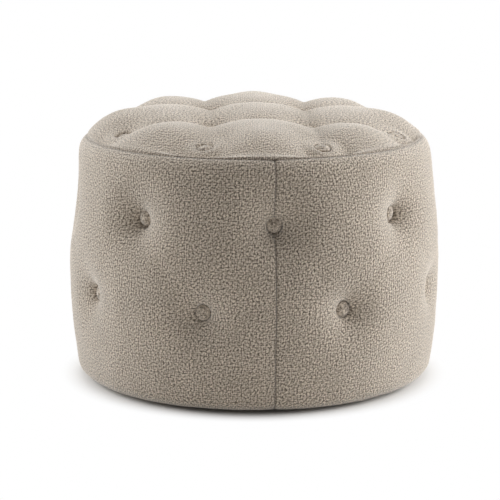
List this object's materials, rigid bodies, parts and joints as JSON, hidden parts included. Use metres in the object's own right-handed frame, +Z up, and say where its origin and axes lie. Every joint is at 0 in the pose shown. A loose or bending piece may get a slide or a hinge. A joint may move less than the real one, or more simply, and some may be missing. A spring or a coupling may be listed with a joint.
{
  "type": "tuffet",
  "caption": "Round drum-shaped upholstered footstool in curly fleece, with a button-tufted crown and sides and a sewn seam round the top edge.",
  "frame": {"origin": "on the floor, under the middle of the drum", "axes": "+Z up, -Y to the front; the front side seam and its button are turned 6.3 degrees from the front towards +X"},
  "size_m": [0.57, 0.57, 0.417],
  "materials": {
    "fleece": "curly teddy fleece, warm taupe",
    "foam": "open-cell polyurethane foam",
    "plywood": "bare plywood, sanded",
    "hardboard": "brown hardboard, smooth side out",
    "softwood": "planed softwood",
    "button_steel": "zinc-plated sheet steel",
    "twine": "waxed upholstery twine",
    "toggle_plastic": "moulded plastic",
    "dust_cloth": "black non-woven cloth",
    "glide_plastic": "black moulded plastic",
    "fastener_steel": "zinc-plated steel"
  },
  "bodies": {
    "root": {"top_cover": "fleece", "side_panel_left": "fleece", "side_panel_right": "fleece", "seat_foam": "foam", "side_foam": "foam", "top_board": "plywood", "base_board": "plywood", "drum_wall": "hardboard", "upright_1": "softwood", "upright_2": "softwood", "upright_3": "softwood", "upright_4": "softwood", "upright_5": "softwood", "upright_6": "softwood", "upright_7": "softwood", "upright_8": "softwood", "button_top_outer_1": "fleece", "button_top_outer_2": "fleece", "button_top_outer_3": "fleece", "button_top_outer_4": "fleece", "button_top_outer_5": "fleece", "button_top_outer_6": "fleece", "button_top_outer_7": "fleece", "button_top_outer_8": "fleece", "button_top_inner_1": "fleece", "button_top_inner_2": "fleece", "button_top_inner_3": "fleece", "button_top_inner_4": "fleece", "button_side_upper_1": "fleece", "button_side_upper_2": "fleece", "button_side_upper_3": "fleece", "button_side_upper_4": "fleece", "button_side_upper_5": "fleece", "button_side_upper_6": "fleece", "button_side_upper_7": "fleece", "button_side_upper_8": "fleece", "button_side_lower_1": "fleece", "button_side_lower_2": "fleece", "button_side_lower_3": "fleece", "button_side_lower_4": "fleece", "button_side_lower_5": "fleece", "button_side_lower_6": "fleece", "button_side_lower_7": "fleece", "button_side_lower_8": "fleece", "button_backs": "button_steel", "tufting_twines": "twine", "twine_toggles": "toggle_plastic", "dust_cover": "dust_cloth", "glide_1": "glide_plastic", "glide_2": "glide_plastic", "glide_3": "glide_plastic", "glide_4": "glide_plastic", "glide_5": "glide_plastic", "glide_6": "glide_plastic", "glide_nails": "fastener_steel", "frame_screws": "fastener_steel", "cover_staples": "fastener_steel"}
  },
  "joints": []
}
